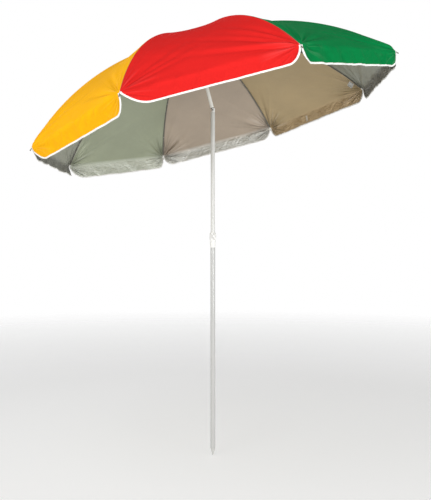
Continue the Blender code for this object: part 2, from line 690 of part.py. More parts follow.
def make_closure_strap(head):
    """Short doubled strap sewn to the inside of the fourth panel's flap, past mid-panel."""
    rib = 3
    half = STRAP_WIDTH / 2
    mesh = block("closure_strap", (-STRAP_THICKNESS, -half, -STRAP_LENGTH), (0, half, 0))
    top = cloth_point(RIM_RADIUS, STRAP_SHARE, 0)
    turn = Matrix.Rotation(rib_azimuth(rib), 4, "Z") @ Matrix.Translation(top)
    place("closure_strap", mesh, white_plastic(), head,
          turn @ Matrix.Rotation(RIB_STEP / 2, 4, "Z") @ Matrix.Translation((STRAP_OFFSET, 0, -STRAP_DROP))
          @ Matrix.Rotation(FLAP_LEAN, 4, "Y"))


def main():
    for old in list(bpy.data.objects):
        bpy.data.objects.remove(old)
    make_ground_spike()
    make_lower_pole()
    make_clamp_collar()
    make_clamp_nut()
    make_clamp_screw()
    make_middle_pole()
    make_middle_pole_bung()
    make_tilt_socket()
    make_tilt_pin()
    make_tilt_button()
    make_tilt_spring()
    head = bpy.data.objects.new("head", None)
    bpy.context.collection.objects.link(head)
    head.matrix_basis = Matrix.Translation((0, 0, TILT_HEIGHT)) @ Matrix.Rotation(-HEAD_TILT, 4, "Y")
    make_tilt_knuckle(head)
    make_upper_pole(head)
    make_crown_hub(head)
    hinge_wire("crown_wire", CROWN_HINGE_Z, head)
    make_finial_cap(head)
    make_runner(head)
    hinge_wire("runner_wire", runner_hinge_z(), head)
    make_runner_catch(head)
    make_frame(head)
    make_canopy(head)
    make_care_label(head)
    make_closure_strap(head)


main()
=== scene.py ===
"""Looks of the beach umbrella: a panelled cloth canopy, its bindings, seams and trim, and every finish.

Metres. The head frame has its origin on the tilt pin and its own Z up the upper pole. On each panel,
u runs from one rib (0) to the next (1), and q runs along the cloth: below 0 on the canopy, above 0
on the flap, and 0 at the rim, where the ribs end.
"""
import json
import math

import bmesh
import bpy
import numpy as np
from mathutils import Matrix, Vector


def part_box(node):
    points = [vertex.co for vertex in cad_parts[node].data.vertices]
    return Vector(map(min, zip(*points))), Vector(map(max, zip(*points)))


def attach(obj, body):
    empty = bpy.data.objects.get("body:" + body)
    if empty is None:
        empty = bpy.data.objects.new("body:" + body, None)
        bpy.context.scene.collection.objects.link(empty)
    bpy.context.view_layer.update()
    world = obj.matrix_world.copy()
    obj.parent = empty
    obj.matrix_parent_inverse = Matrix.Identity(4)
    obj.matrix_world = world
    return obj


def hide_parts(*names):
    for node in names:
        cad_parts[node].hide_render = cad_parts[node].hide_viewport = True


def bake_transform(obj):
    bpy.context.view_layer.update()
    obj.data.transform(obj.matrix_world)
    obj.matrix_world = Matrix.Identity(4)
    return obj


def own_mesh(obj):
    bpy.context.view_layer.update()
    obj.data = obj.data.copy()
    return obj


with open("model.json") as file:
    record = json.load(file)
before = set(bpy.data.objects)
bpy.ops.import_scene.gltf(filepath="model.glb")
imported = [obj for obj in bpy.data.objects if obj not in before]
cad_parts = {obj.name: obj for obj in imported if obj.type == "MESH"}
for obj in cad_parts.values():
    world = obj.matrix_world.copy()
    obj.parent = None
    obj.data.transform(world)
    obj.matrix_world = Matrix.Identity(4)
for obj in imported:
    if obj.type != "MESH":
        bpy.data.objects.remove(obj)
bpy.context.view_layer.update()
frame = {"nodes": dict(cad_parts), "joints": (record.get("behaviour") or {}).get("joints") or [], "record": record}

JOINTS = {joint["name"]: joint for joint in frame["joints"]}
RIB_COUNT = 8
RIB_STEP = 2 * math.pi / RIB_COUNT

# Canopy
RIB_LINE_Z = 0.328
RIB_STRAIGHT_END = 0.035
RIB_BEND_RADIUS = 1.050
RIM_RADIUS = 0.820
CLOTH_INNER_RADIUS = 0.0212
CLOTH_LIFT = 0.0030
CLOTH_HALF = 0.0002
PANEL_SAG = 0.0130
FLAP_DEPTH = 0.055
FLAP_LEAST = 0.0004
DEEP_FLAPS = {1: 0.061, 5: 0.065, 7: 0.069}
FLAP_LEAN = math.radians(8)
FLAP_CORNER = 0.042
FLAP_CORNER_ROUND = 2.0
CREASE_SOFTNESS = 0.007
CREASE_REACH = 0.090
CHORD_SHARE = 2 * math.sin(RIB_STEP / 2)
RIM_CHORD = RIM_RADIUS * CHORD_SHARE
RIM_TURN = math.asin((RIM_RADIUS - RIB_STRAIGHT_END) / RIB_BEND_RADIUS)
RIM_ARC = RIB_BEND_RADIUS * RIM_TURN
TOP_Q = CLOTH_INNER_RADIUS - RIB_STRAIGHT_END - RIM_ARC
EDGE_STEP = 0.0040
FLAP_ROWS = 17
NOISE_CELLS = 64

# Relief of the cloth: how high each kind of fold stands, and how far it keeps from the ribs
WAVE_HEIGHT = 0.0016
FOLD_HEIGHTS = (0.0050, 0.0062, 0.0034)
FOLD_CLEARANCE = 0.030
RIB_CLEARANCE = 0.012
WELT_HEIGHT = 0.0004
WELT_WIDTH = 0.0045
GROOVE_DEPTH = 0.0005
GROOVE_WIDTH = 0.0011

# Some panels' corners are cut wider and slacker: width and roundness beside each rib
SLACK_CORNERS = {
    0: ((0.100, 1.0), (0.055, 1.7)),
    4: ((0.058, 1.3), (0.046, 1.7)),
    5: ((0.062, 1.4), (0.060, 1.3)),
    7: ((0.085, 1.6), (0.050, 1.8)),
}

# Button spring
SPRING_WIRE = 0.0002
SPRING_TURNS = 2.5

# Trim
BINDING_WIDTH = 0.0058
TAPE_HALF = 0.0030
STITCH_LENGTH = 0.0028
STITCH_HALF = 0.00035
TIE_PLACES = (-0.62, -0.36, -0.13)
TIE_TURNS = 3
TIE_RADIUS = 0.00245
TIE_THREAD = 0.00028
TAB_RADII = (0.00235, 0.00290)
LABEL_WIDTH = 0.027
LABEL_LENGTH = 0.027
LABEL_RADIUS = 0.777
STRAP_WIDTH = 0.010
STRAP_LENGTH = 0.030
STRAP_SHARE = 0.585

# Finishes: distance at which a wave texture of scale 1 repeats, and the pitches set by it
WAVE_PERIOD = 0.314
THREAD_PITCH = 0.0009
GROSGRAIN_PITCH = 0.0007

# Studio
CAMERA_PLACE = (0.0121, -2.958, 0.929)
CAMERA_TURN = math.radians(0.99)
CAMERA_LENS = 47.15
FLOOR_RADIUS = 9.0
FLOOR_SIDES = 96
LIGHTS = (
    ("left", (-3.2, -5.0, 1.4), (0, 0, 1.6), (2.6, 1.8), 100),
    ("right", (3.9, -5.2, 0.75), (-0.2, 0.3, 1.6), (2.6, 1.3), 160),
    ("top", (-1.2, -1.6, 4.2), (0, 0, 1.6), (2.0, 2.0), 14),
)

# Base colours of the cloth outside and of its coating, then copies of the coating for the flaps that carry painted
# light (painted shade on the blue panels' flaps)
PANEL_COLOURS = ("red", "green", "blue", "yellow")
OUTSIDE = {
    "red": (0.76, 0.020, 0.018),
    "green": (0.0015, 0.212, 0.054),
    "blue": (0.006, 0.045, 0.330),
    "yellow": (1.0, 0.47, 0.006),
}
INSIDE = {
    "red": (0.400, 0.328, 0.256),
    "green": (0.311, 0.339, 0.239),
    "blue": (0.276, 0.284, 0.227),
    "yellow": (0.440, 0.335, 0.185),
}
# Painted light and shade: the flaps' coating is lighter than the rest of the coating, and darker on the blue
# panels
INSIDE_FLAP_LIGHT_AND_SHADE = {
    "red": (0.620, 0.620, 0.580),
    "green": (0.650, 0.680, 0.600),
    "blue": (0.190, 0.190, 0.170),
    "yellow": (0.540, 0.400, 0.230),
}


def head_frame():
    """The head's frame, from the tilt joint and the ring of crown hinges."""
    tilt = Vector(JOINTS["head_tilt"]["pos_m"])
    names = ["canopy_fold"] + [f"rib_{n}_fold" for n in range(2, RIB_COUNT + 1)]
    hinges = [Vector(JOINTS[name]["pos_m"]) for name in names]
    crown = sum(hinges, Vector()) / RIB_COUNT
    up = (crown - tilt).normalized()
    matrix = Matrix.Translation(tilt) @ Matrix.Rotation(math.atan2(up.x, up.z), 4, "Y")
    first = matrix.inverted() @ hinges[0]
    return matrix, math.atan2(first.y, first.x), hinges


HEAD, FIRST_AZIMUTH, HINGES = head_frame()


def smooth(x):
    """0 below 0, 1 above 1 and a smooth step between."""
    x = np.clip(x, 0, 1)
    return x * x * (3 - 2 * x)


def to_world(points):
    """Points of the head frame, given in the row frame."""
    matrix = np.array(HEAD)
    return points @ matrix[:3, :3].T + matrix[:3, 3]


def azimuth_of(rib):
    """Azimuth in the head frame of a rib counted from 0."""
    return FIRST_AZIMUTH + rib * RIB_STEP


# ---------------------------------------------------------------- shape of the cloth

class ValueNoise:
    """Smooth 2-D noise from a seeded table, about -1 to 1."""

    def __init__(self, seed):
        self.table = np.random.default_rng(seed).uniform(-1, 1, (NOISE_CELLS, NOISE_CELLS))

    def __call__(self, x, y):
        low_x = np.floor(x).astype(int)
        low_y = np.floor(y).astype(int)
        part_x = smooth(x - low_x)
        part_y = smooth(y - low_y)
        x_pair = (low_x % NOISE_CELLS, (low_x + 1) % NOISE_CELLS)
        y_pair = (low_y % NOISE_CELLS, (low_y + 1) % NOISE_CELLS)
        near = self.table[x_pair[0], y_pair[0]] * (1 - part_y) + self.table[x_pair[0], y_pair[1]] * part_y
        far = self.table[x_pair[1], y_pair[0]] * (1 - part_y) + self.table[x_pair[1], y_pair[1]] * part_y
        return near * (1 - part_x) + far * part_x


def fan_folds(seed):
    """Folds that spread from a rib's tip into the cloth: angle from the rib, height, width and length."""
    dice = np.random.default_rng(seed)
    folds = []
    angle = math.radians(5)
    while angle < math.radians(72):
        angle += math.radians(dice.uniform(4.5, 9.0))
        height = dice.uniform(0.0020, 0.0052) * dice.choice([-1, 1, 1])
        folds.append((angle, height, dice.uniform(0.0042, 0.0066), dice.uniform(0.045, 0.110)))
    return folds


def fan_height(folds, beside, above):
    """Height of the folds at a distance beside the rib and above the rim."""
    height = np.zeros_like(beside)
    for angle, size, width, peak in folds:
        along = beside * math.sin(angle) + above * math.cos(angle)
        across = beside * math.cos(angle) - above * math.sin(angle)
        ahead = np.maximum(along, 0)
        spread = width + 0.05 * ahead
        height += size * np.exp(-((across / spread) ** 2)) * ahead / peak * np.exp(1 - ahead / peak)
    return height


def radius_at(q):
    """Distance from the canopy's axis of a rib's line at q."""
    turn = np.clip((RIM_ARC + q) / RIB_BEND_RADIUS, 0, None)
    straight = np.minimum(RIM_ARC + q, 0)
    return RIB_STRAIGHT_END + RIB_BEND_RADIUS * np.sin(turn) + straight


def height_at(q):
    """Height in the head frame of a rib's line at q."""
    turn = np.clip((RIM_ARC + q) / RIB_BEND_RADIUS, 0, None)
    return RIB_LINE_Z - RIB_BEND_RADIUS * (1 - np.cos(turn))


def flap_share(beside, corner):
    """Share of the flap's depth at a distance from the nearer rib: a round corner, then straight."""
    width, roundness = corner
    left = np.clip(1 - beside / width, 0, 1)
    return (1 - left**2) ** (1 / roundness)


class Panel:
    """One panel of the canopy between rib and rib + 1."""

    def __init__(self, rib):
        self.rib = rib
        self.colour = PANEL_COLOURS[rib % len(PANEL_COLOURS)]
        start = azimuth_of(rib)
        self.ends = [np.array([math.cos(a), math.sin(a), 0]) for a in (start, start + RIB_STEP)]
        middle = start + RIB_STEP / 2
        self.out = np.array([math.cos(middle), math.sin(middle), 0])
        self.down = np.array([0, 0, -math.cos(FLAP_LEAN)]) - self.out * math.sin(FLAP_LEAN)
        self.flap = DEEP_FLAPS.get(rib, FLAP_DEPTH)
        usual = (FLAP_CORNER, FLAP_CORNER_ROUND)
        self.corners = dict(zip("ab", SLACK_CORNERS.get(rib, (usual, usual))))
        self.fans = [fan_folds(40 + rib), fan_folds(60 + rib)]
        self.noises = [ValueNoise(80 + 4 * rib + k) for k in range(4)]

    def base(self, u, q):
        """The smooth cloth, with the crease at the rim rounded away from the ribs."""
        beside = np.minimum(u, 1 - u) * RIM_CHORD
        soft = CREASE_SOFTNESS * smooth(beside / CREASE_REACH)
        root = np.sqrt(q * q + soft * soft)
        above = (q - root) / 2
        below = (q + root) / 2
        radius = radius_at(above)
        point = radius[:, None] * ((1 - u)[:, None] * self.ends[0] + u[:, None] * self.ends[1])
        point[:, 2] += height_at(above)
        turn = np.clip((RIM_ARC + above) / RIB_BEND_RADIUS, 0, None)
        share = np.clip((radius - RIB_STRAIGHT_END) / (RIM_RADIUS - RIB_STRAIGHT_END), 0, 1)
        sag = PANEL_SAG * 4 * u * (1 - u) * np.sin(math.pi * share)
        fall = np.sin(turn)[:, None] * self.out
        fall[:, 2] += np.cos(turn)
        return point - sag[:, None] * fall + below[:, None] * self.down

    def normal(self, u, q):
        """The smooth cloth's outward direction."""
        step = 0.0015
        across = self.base(u + step, q) - self.base(u - step, q)
        along = self.base(u, q + step) - self.base(u, q - step)
        raw = np.cross(along, across)
        return raw / np.linalg.norm(raw, axis=1)[:, None]

    def relief(self, u, q):
        """Height of folds, crinkles and seams over the smooth cloth."""
        chord = radius_at(np.minimum(q, 0)) * CHORD_SHARE
        above = np.maximum(-q, 0)
        left = u * chord
        right = (1 - u) * chord
        height = fan_height(self.fans[0], left, above) + fan_height(self.fans[1], right, above)
        side = u * RIM_CHORD
        broad, crinkle, fine, ripple = self.noises
        height += WAVE_HEIGHT * ripple(side / 0.16, q / 0.30) * smooth((0.75 + q) / 0.5)
        lean = side * 0.8 + q * 0.6
        rise = q * 0.8 - side * 0.6
        folds = FOLD_HEIGHTS[0] * broad(side / 0.050, q / 0.085)
        folds += FOLD_HEIGHTS[1] * (0.4 - np.sqrt(crinkle(lean / 0.036, rise / 0.060) ** 2 + 0.01))
        folds += FOLD_HEIGHTS[2] * (0.4 - np.sqrt(fine((side - q) / 0.026, (q + side) / 0.045) ** 2 + 0.01))
        near = np.minimum(left, right)
        on_flap = smooth((q + 0.016) / 0.030)
        height += folds * on_flap * smooth(near / FOLD_CLEARANCE)
        height *= smooth(near / RIB_CLEARANCE)
        welt = np.exp(-((near / WELT_WIDTH) ** 2)) * WELT_HEIGHT
        groove = np.exp(-((near / GROOVE_WIDTH) ** 2)) * GROOVE_DEPTH
        return height + (welt - groove) * smooth((0.80 + q) / 0.1)

    def skin(self, u, q, lift):
        """The cloth's mid surface raised by lift, in the row frame."""
        rise = (self.relief(u, q) + CLOTH_LIFT + lift)[:, None]
        return to_world(self.base(u, q) + rise * self.normal(u, q))


PANELS = [Panel(rib) for rib in range(RIB_COUNT)]


# ---------------------------------------------------------------- meshes

def make_object(name, vertices, faces, materials, uvs=None, face_slots=None):
    """An object in the row frame, shaded smooth but for edges over 40 degrees."""
    mesh = bpy.data.meshes.new(name)
    mesh.from_pydata([tuple(v) for v in vertices], [], [tuple(f) for f in faces])
    for material in materials:
        mesh.materials.append(material)
    if face_slots is not None:
        mesh.polygons.foreach_set("material_index", np.array(face_slots, np.int32))
    if uvs is not None:
        layer = mesh.uv_layers.new(name="UVMap")
        corners = np.zeros(len(mesh.loops), np.int32)
        mesh.loops.foreach_get("vertex_index", corners)
        layer.data.foreach_set("uv", np.asarray(uvs, np.float32)[corners].ravel())
    work = bmesh.new()
    work.from_mesh(mesh)
    bmesh.ops.recalc_face_normals(work, faces=work.faces)
    work.to_mesh(mesh)
    work.free()
    mesh.shade_smooth()
    mesh.set_sharp_from_angle(angle=math.radians(40))
    made = bpy.data.objects.new(name, mesh)
    bpy.context.scene.collection.objects.link(made)
    return made


def grid_faces(rows, columns, wrap=False):
    """Quads of a grid whose vertices run along its columns first."""
    faces = []
    last = columns if wrap else columns - 1
    for row in range(rows - 1):
        for column in range(last):
            here = row * columns + column
            there = row * columns + (column + 1) % columns
            faces.append((here, there, there + columns, here + columns))
    return faces


def triangles_of(quads):
    """Both halves of every quad, always split the same way, so that two skins never cross."""
    return [half for a, b, c, d in quads for half in ((a, b, c), (a, c, d))]


def closed_sheet(faces, rows, columns):
    """Faces of a thin sheet: a grid's own, the same ones reversed a layer below, and the border between."""
    size = rows * columns
    under = [tuple(v + size for v in reversed(face)) for face in faces]
    edge = list(range(columns))
    edge += [row * columns + columns - 1 for row in range(1, rows)]
    edge += [(rows - 1) * columns + column for column in range(columns - 2, -1, -1)]
    edge += [row * columns for row in range(rows - 2, 0, -1)]
    border = [(a, b, b + size, a + size) for a, b in zip(edge, edge[1:] + edge[:1])]
    return faces + under + border


def flap_edge(panel, side):
    """The flap's edge as distances from the rib, depths below the rim and directions into the cloth."""
    corner = panel.corners[side]
    turns = np.linspace(0, math.pi / 2, 19)[:-1]
    half = RIM_CHORD / 2
    count = round((half - corner[0]) / EDGE_STEP)
    beside = np.concatenate([corner[0] * (1 - np.cos(turns)), np.linspace(corner[0], half, count + 1)])
    depth = panel.flap * flap_share(beside, corner)
    step = 0.0002
    before = np.maximum(beside - step, 0)
    rise = panel.flap * (flap_share(beside + step, corner) - flap_share(before, corner))
    inward = np.stack([rise, before - beside - step], 1)
    return beside, depth, inward / np.linalg.norm(inward, axis=1)[:, None]


def cloth_rows():
    """q of the canopy's rows, from the crown to the rim, closer together towards the rim."""
    far = np.linspace(TOP_Q, -0.30, 40)
    middle = np.linspace(-0.30, -0.06, 42)[1:]
    near = np.linspace(-0.06, 0.0, 18)[1:]
    return np.concatenate([far, middle, near])


def half_panel(panel, side):
    """Half a panel as a thin closed sheet: coloured cloth outside and its coating inside."""
    beside, depth, _ = flap_edge(panel, side)
    u_line = beside / RIM_CHORD if side == "a" else 1 - beside / RIM_CHORD
    u_rows = []
    q_rows = []
    for q in cloth_rows():
        u_rows.append(u_line)
        q_rows.append(np.full_like(u_line, q))
    for k in range(1, FLAP_ROWS + 1):
        u_rows.append(u_line)
        q_rows.append(np.maximum(depth, FLAP_LEAST) * k / FLAP_ROWS)
    rows = len(q_rows)
    columns = len(beside)
    u = np.concatenate(u_rows)
    q = np.concatenate(q_rows)
    top = panel.skin(u, q, CLOTH_HALF)
    bottom = panel.skin(u, q, -CLOTH_HALF)
    uvs = np.stack([np.minimum(u, 1 - u) * RIM_CHORD, q + 1.0], 1)
    skin = triangles_of(grid_faces(rows, columns))
    faces = closed_sheet(skin, rows, columns)
    slots = [0] * len(skin) + [1] * len(skin) + [0] * (len(faces) - 2 * len(skin))
    materials = [CLOTH_OUTSIDE[panel.colour], CLOTH_INSIDE[panel.colour]]
    return make_object(f"canopy_{panel.rib + 1}_{side}", np.concatenate([top, bottom]), faces, materials,
                       np.concatenate([uvs, uvs]), slots)


def binding(panel, side):
    """White tape folded over the flap's edge, from the rib's tip to mid-panel."""
    beside, depth, inward = flap_edge(panel, side)
    near = CLOTH_HALF + 0.00015
    far = near + 0.00055
    wide = BINDING_WIDTH
    profile = [(wide, far), (wide * 0.5, far + 0.0001), (0.0004, far), (-0.0007, 0.0)]
    profile += [(0.0004, -far), (wide * 0.45, -far - 0.0001), (wide * 0.9, -far)]
    profile += [(wide * 0.9, -near), (-0.0001, -near), (-0.0001, near), (wide, near)]
    run = np.concatenate([[0], np.cumsum(np.hypot(np.diff(beside), np.diff(depth)))])
    u = []
    q = []
    lift = []
    uvs = []
    for n in range(len(beside)):
        for inset, rise in profile:
            at_side = max(beside[n] + inward[n][0] * inset, 0.0)
            share = min(at_side / RIM_CHORD, 0.5)
            u.append(share if side == "a" else 1 - share)
            q.append(depth[n] + inward[n][1] * inset)
            lift.append(rise)
            uvs.append((run[n], inset))
    points = panel.skin(np.array(u), np.array(q), np.array(lift))
    loop = len(profile)
    faces = grid_faces(len(beside), loop, wrap=True)
    faces.append(tuple(range(loop)))
    faces.append(tuple((len(beside) - 1) * loop + k for k in range(loop)))
    return make_object(f"binding_{panel.rib + 1}_{side}", points, faces, [BINDING], uvs)


def seam_tape(rib):
    """Folded edges of two panels, sewn together over a rib, on the inside; their dark grey is partly the seam's
    own colour and partly painted shade along the rib.
    """
    before = PANELS[rib - 1]
    after = PANELS[rib]
    offsets = [-TAPE_HALF, -0.0024, -0.0008, 0.0, 0.0008, 0.0024, TAPE_HALF]
    rows = np.linspace(TOP_Q + 0.03, -0.001, 90)
    chord = radius_at(rows) * CHORD_SHARE
    layers = []
    for lift in (-CLOTH_HALF - 0.0001, -CLOTH_HALF - 0.0004):
        points = np.zeros((len(rows), len(offsets), 3))
        for column, offset in enumerate(offsets):
            share = np.minimum(abs(offset) / chord, 0.45)
            panel, u = (after, share) if offset >= 0 else (before, 1 - share)
            points[:, column] = panel.skin(u, rows, lift)
        layers.append(points.reshape(-1, 3))
    faces = closed_sheet(grid_faces(len(rows), len(offsets)), len(rows), len(offsets))
    uvs = [(offset, q + 1.0) for q in rows for offset in offsets]
    made = make_object(f"seam_tape_{rib + 1}", np.concatenate(layers), faces, [SEAM_CLOTH], uvs + uvs)
    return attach(made, f"rib_{rib + 1}")


def tube(name, path, radius, sides, material):
    """A round thread along path, whose points are in the row frame."""
    count = len(path)
    vertices = []
    up = Vector((0.31, 0.17, 0.93))
    for n, point in enumerate(path):
        before = path[n - 1] if n else point
        after = path[n + 1] if n < count - 1 else point
        along = (after - before).normalized()
        across = (up - along * up.dot(along)).normalized()
        other = along.cross(across)
        for k in range(sides):
            turn = 2 * math.pi * k / sides
            vertices.append(point + radius * (math.cos(turn) * across + math.sin(turn) * other))
    faces = grid_faces(count, sides, wrap=True)
    faces += [tuple(range(sides)), tuple((count - 1) * sides + k for k in range(sides))]
    return make_object(name, vertices, faces, [material])


def rib_point(rib, q, lift=0.0):
    """A rib's centre line at q, raised by lift along its normal, in the row frame."""
    turn = max(0.0, (RIM_ARC + q) / RIB_BEND_RADIUS)
    radius = float(radius_at(np.array([q]))[0]) + lift * math.sin(turn)
    height = float(height_at(np.array([q]))[0]) + lift * math.cos(turn)
    azimuth = azimuth_of(rib)
    return HEAD @ Vector((radius * math.cos(azimuth), radius * math.sin(azimuth), height))


def beside_rib(rib):
    """Direction to one side of a rib, towards the next one, in the row frame."""
    azimuth = azimuth_of(rib)
    return HEAD.to_3x3() @ Vector((-math.sin(azimuth), math.cos(azimuth), 0))


def rib_tie(rib, q, number):
    """Turns of thread that hold the seam to the rib."""
    side = beside_rib(rib).normalized()
    count = 14 * TIE_TURNS
    path = []
    for n in range(count + 1):
        turn = 2 * math.pi * TIE_TURNS * n / count
        spot = q + 0.0016 * (n / count - 0.5)
        centre = rib_point(rib, spot)
        up = (rib_point(rib, spot, 0.01) - centre).normalized()
        path.append(centre + TIE_RADIUS * (math.cos(turn) * up + math.sin(turn) * side))
    made = tube(f"rib_tie_{rib + 1}_{number}", path, TIE_THREAD, 6, THREAD)
    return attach(made, f"rib_{rib + 1}")


def tip_tab(rib):
    """Small folded tab of tape that holds the canopy's corner on the rib's end."""
    side = beside_rib(rib).normalized()
    vertices = []
    count = 20
    rows = np.linspace(-0.011, 0.0015, 6)
    for q in rows:
        centre = rib_point(rib, q)
        up = (rib_point(rib, q, 0.01) - centre).normalized()
        for radius in TAB_RADII:
            for k in range(count):
                turn = 2 * math.pi * k / count
                flat = 1.0 + 0.35 * abs(math.sin(turn))
                vertices.append(centre + radius * (math.cos(turn) * up * 0.98 + math.sin(turn) * flat * side))
    ring = 2 * count
    faces = []
    for row in range(len(rows) - 1):
        for k in range(count):
            a = row * ring + k
            b = row * ring + (k + 1) % count
            faces.append((a, b, b + ring, a + ring))
            faces.append((a + count, b + count, b + count + ring, a + count + ring))
    for row in (0, len(rows) - 1):
        for k in range(count):
            a = row * ring + k
            b = row * ring + (k + 1) % count
            faces.append((a, b, b + count, a + count))
    made = make_object(f"tip_tab_{rib + 1}", vertices, faces, [BINDING])
    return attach(made, f"rib_{rib + 1}")


# ---------------------------------------------------------------- finishes

def node(tree, kind, values=None, **settings):
    """A new node with values on its input sockets and settings on the node itself."""
    made = tree.nodes.new(kind)
    for key, value in settings.items():
        setattr(made, key, value)
    for key, value in (values or {}).items():
        made.inputs[key].default_value = value
    return made


def finish(name, sockets):
    """A Principled material with values set straight on the shader's sockets."""
    made = bpy.data.materials.new(name)
    made.use_nodes = True
    shader = made.node_tree.nodes["Principled BSDF"]
    for key, value in sockets.items():
        shader.inputs[key].default_value = value
    return made, made.node_tree, shader


def coordinates(tree, kind, scale=(1, 1, 1), turn=0.0):
    """UV or object coordinates, scaled, then turned."""
    source = node(tree, "ShaderNodeTexCoord")
    mapping = node(tree, "ShaderNodeMapping", {"Scale": scale, "Rotation": (0, 0, turn)})
    tree.links.new(source.outputs[kind], mapping.inputs["Vector"])
    return mapping.outputs["Vector"]


def parts_of(tree, vector):
    """The three parts of a vector."""
    made = node(tree, "ShaderNodeSeparateXYZ")
    tree.links.new(vector, made.inputs[0])
    return made.outputs


def noise(tree, vector, scale, detail=3.0, roughness=0.55):
    """Smooth noise on the vector, about 0 to 1."""
    made = node(tree, "ShaderNodeTexNoise", {"Scale": scale, "Detail": detail, "Roughness": roughness})
    tree.links.new(vector, made.inputs["Vector"])
    return made.outputs["Fac"]


def waves(tree, vector, scale, direction):
    """Bands across a direction of the vector, 0 to 1."""
    made = node(tree, "ShaderNodeTexWave", {"Scale": scale}, bands_direction=direction)
    tree.links.new(vector, made.inputs["Vector"])
    return made.outputs["Fac"]


def math_of(tree, operation, a, b=0.0):
    """A Math node of one or two sockets or numbers."""
    made = node(tree, "ShaderNodeMath", operation=operation)
    for socket, value in zip(made.inputs, (a, b)):
        if isinstance(value, (int, float)):
            socket.default_value = value
        else:
            tree.links.new(value, socket)
    return made.outputs[0]


def between(tree, factor, low, high, start=0.0, end=1.0):
    """A number that goes from low to high as factor goes from start to end."""
    limits = {"From Min": start, "From Max": end, "To Min": low, "To Max": high}
    made = node(tree, "ShaderNodeMapRange", limits)
    tree.links.new(factor, made.inputs["Value"])
    return made.outputs["Result"]


def blend_colours(tree, factor, first, second):
    """A colour that goes from first to second as factor goes from 0 to 1."""
    made = node(tree, "ShaderNodeMix", data_type="RGBA")
    for index, value in ((0, factor), (6, first), (7, second)):
        if isinstance(value, tuple):
            made.inputs[index].default_value = (*value, 1.0)
        else:
            tree.links.new(value, made.inputs[index])
    return made.outputs[2]


def bump(tree, shader, height, distance, strength=1.0, below=None):
    """Raise the surface by height; below is a bump that lies under this one."""
    made = node(tree, "ShaderNodeBump", {"Distance": distance, "Strength": strength})
    tree.links.new(height, made.inputs["Height"])
    if below is not None:
        tree.links.new(below, made.inputs["Normal"])
    tree.links.new(made.outputs["Normal"], shader.inputs["Normal"])
    return made.outputs["Normal"]


def shade(colour, times):
    """A colour made lighter or darker, by times."""
    return tuple(min(1.0, c * times) for c in colour)


def weave(tree):
    """Plain weave: crossing threads on the cloth's own coordinates."""
    vector = coordinates(tree, "UV")
    warp = waves(tree, vector, WAVE_PERIOD / THREAD_PITCH, "X")
    weft = waves(tree, vector, WAVE_PERIOD / THREAD_PITCH, "Y")
    return math_of(tree, "MULTIPLY", warp, weft), vector


def stitches(tree, vector, column, row, at):
    """1 on a row of stitches that lies at a distance `at` along one coordinate."""
    split = parts_of(tree, vector)
    offset = math_of(tree, "SUBTRACT", split[column], at)
    across = math_of(tree, "LESS_THAN", math_of(tree, "ABSOLUTE", offset), STITCH_HALF)
    along = math_of(tree, "FRACT", math_of(tree, "DIVIDE", split[row], STITCH_LENGTH))
    return math_of(tree, "MULTIPLY", across, math_of(tree, "LESS_THAN", along, 0.72))


def fan_creases(tree, vector):
    """Creases that spread from each rib's tip into the cloth, and how strong they are, 0 to 1."""
    beside, height, _ = parts_of(tree, vector)
    above = math_of(tree, "SUBTRACT", 1.0, height)
    angle = math_of(tree, "ARCTAN2", beside, above)
    square = math_of(tree, "MULTIPLY", beside, beside)
    squares = math_of(tree, "ADD", square, math_of(tree, "MULTIPLY", above, above))
    distance = math_of(tree, "SQRT", squares)
    place = parts_of(tree, coordinates(tree, "Object", (3.0, 3.0, 3.0)))
    spread = node(tree, "ShaderNodeCombineXYZ")
    tree.links.new(math_of(tree, "MULTIPLY", angle, 6.5), spread.inputs[0])
    tree.links.new(place[0], spread.inputs[1])
    tree.links.new(place[1], spread.inputs[2])
    fold = noise(tree, spread.outputs[0], 1.0, 2.0, 0.4)
    start = between(tree, distance, 0.0, 1.0, 0.004, 0.030)
    end = between(tree, distance, 1.0, 0.0, 0.050, 0.150)
    return fold, math_of(tree, "MULTIPLY", start, end)


def creased_colour(tree, fold, strength, colour, light, dark):
    """A colour with painted highlights on the creases' crests and painted shade in their valleys."""
    crest = math_of(tree, "MULTIPLY", between(tree, fold, 0.0, light, 0.52, 0.66), strength)
    valley = math_of(tree, "MULTIPLY", between(tree, fold, dark, 0.0, 0.34, 0.48), strength)
    lit = blend_colours(tree, crest, colour, (1.0, 1.0, 1.0))
    return blend_colours(tree, valley, lit, (0.0, 0.0, 0.0))


